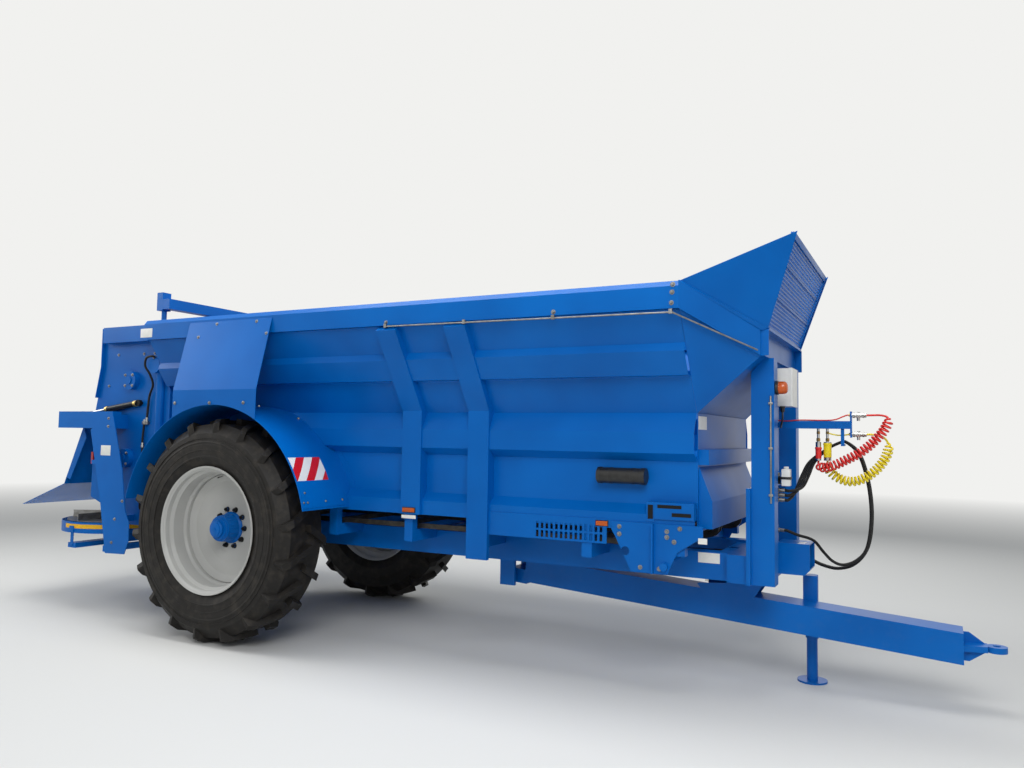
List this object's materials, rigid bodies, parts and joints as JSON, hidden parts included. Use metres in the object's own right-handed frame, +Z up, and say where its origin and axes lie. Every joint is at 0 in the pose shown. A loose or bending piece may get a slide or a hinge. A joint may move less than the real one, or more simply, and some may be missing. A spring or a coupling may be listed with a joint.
{
  "type": "manure spreader",
  "caption": "Trailed rear-discharge manure spreader: flared load body on two large tyres, chain floor, slurry door, beaters, spinner discs, rear hood, sprung drawbar and jack.",
  "frame": {"origin": "on the ground, under the middle of the whole machine", "axes": "+X forwards along the drawbar, +Y to the left, +Z up"},
  "size_m": [9.2916, 2.935, 3.2644],
  "materials": {
    "amber": "gloss",
    "black_hose": "matte",
    "black_paint": "satin",
    "black_plastic": "matte",
    "chain": "worn",
    "chrome": "polished",
    "paint": "gloss",
    "red_hose": "gloss",
    "red_lens": "gloss",
    "rim_paint": "satin",
    "steel": "worn",
    "tyre": "matte",
    "white_plastic": "satin",
    "yellow_hose": "gloss"
  },
  "bodies": {
    "root": {"chassis": "paint", "axle_beam": "paint", "side_panel_left": "paint", "side_panel_right": "paint", "top_rails": "paint", "front_wall": "paint", "hood_frame": "paint", "hood_wings": "paint", "hood_screen": "paint", "floor_plate": "paint", "floor_chains": "chain", "floor_shafts": "chain", "front_frame": "paint", "drawbar": "paint", "hitch_eye": "paint", "drawbar_cylinder": "chrome", "jack_tube": "paint", "side_skirts": "paint", "side_brackets": "paint", "document_tube": "black_plastic", "mudguards": "paint", "side_covers": "paint", "rear_frame": "paint", "door_cylinders": "paint", "beater_housing": "paint", "beater_bearings": "paint", "spread_deck": "paint", "disc_gearboxes": "paint", "rear_lamps": "red_lens", "pto_guard": "paint", "pto_stub": "steel", "drive_line": "black_paint", "valve_block": "steel", "hose_arm": "paint", "air_couplings": "chrome", "electric_box": "white_plastic", "amber_lamp": "amber", "red_air_hose": "red_hose", "yellow_air_hose": "yellow_hose", "hydraulic_hose_1": "black_hose", "hydraulic_hose_2": "black_hose", "hydraulic_hose_3": "black_hose"},
    "wheel_left": {"tyre_left": "tyre", "rim_left": "rim_paint", "hub_left": "paint"},
    "wheel_right": {"tyre_right": "tyre", "rim_right": "rim_paint", "hub_right": "paint"},
    "beater_low": {"beater_lower": "paint"},
    "beater_high": {"beater_upper": "paint"},
    "disc_l": {"disc_left": "steel"},
    "disc_r": {"disc_right": "steel"},
    "door": {"slurry_door": "paint"},
    "hood": {"rear_hood": "paint"},
    "barrels": {"hood_barrels": "black_paint"},
    "rods": {"hood_rods": "chrome"},
    "jack": {"jack_leg": "paint"}
  },
  "joints": [
    {"name": "wheel_left_spin", "type": "hinge", "parent": "root", "child": "wheel_left", "pos_m": [-1.41416, 1.2, 0.985], "axis": [0, 1, 0], "continuous": true},
    {"name": "wheel_right_spin", "type": "hinge", "parent": "root", "child": "wheel_right", "pos_m": [-1.41416, -1.2, 0.985], "axis": [0, 1, 0], "continuous": true},
    {"name": "beater_low_spin", "type": "hinge", "parent": "root", "child": "beater_low", "pos_m": [-3.05416, 0, 1.56], "axis": [0, 1, 0], "continuous": true},
    {"name": "beater_high_spin", "type": "hinge", "parent": "root", "child": "beater_high", "pos_m": [-3.01416, 0, 2.35], "axis": [0, 1, 0], "continuous": true},
    {"name": "disc_left_spin", "type": "hinge", "parent": "root", "child": "disc_l", "pos_m": [-3.61416, 0.6, 0.9], "axis": [0, 0, 1], "continuous": true},
    {"name": "disc_right_spin", "type": "hinge", "parent": "root", "child": "disc_r", "pos_m": [-3.61416, -0.6, 0.9], "axis": [0, 0, 1], "continuous": true},
    {"name": "door_lift", "type": "slide", "parent": "root", "child": "door", "axis": [0, 0, 1], "range_m": [0, 1.2]},
    {"name": "hood_lift", "type": "hinge", "parent": "root", "child": "hood", "pos_m": [-3.65416, 0, 1.9], "axis": [0, 1, 0], "range_deg": [0, 70]},
    {"name": "hood_cylinder_pivot", "type": "hinge", "parent": "root", "child": "barrels", "pos_m": [-2.87416, 0, 2.12], "axis": [0, 1, 0], "range_deg": [-1.57, 0]},
    {"name": "hood_cylinder_stroke", "type": "slide", "parent": "barrels", "child": "rods", "axis": [-0.9913, 0, -0.1317], "range_m": [-0.14766, 0]},
    {"name": "jack_stroke", "type": "slide", "parent": "root", "child": "jack", "axis": [0, 0, 1], "range_m": [0, 0.3]}
  ],
  "couplings": [
    {"joint": "beater_high_spin", "follows": "beater_low_spin", "ratio": 1},
    {"joint": "disc_right_spin", "follows": "disc_left_spin", "ratio": -1},
    {"joint": "hood_cylinder_pivot", "follows": "hood_lift", "ratio": -0.022497},
    {"joint": "hood_cylinder_stroke", "follows": "hood_lift", "m_per_rad": -0.12078}
  ]
}
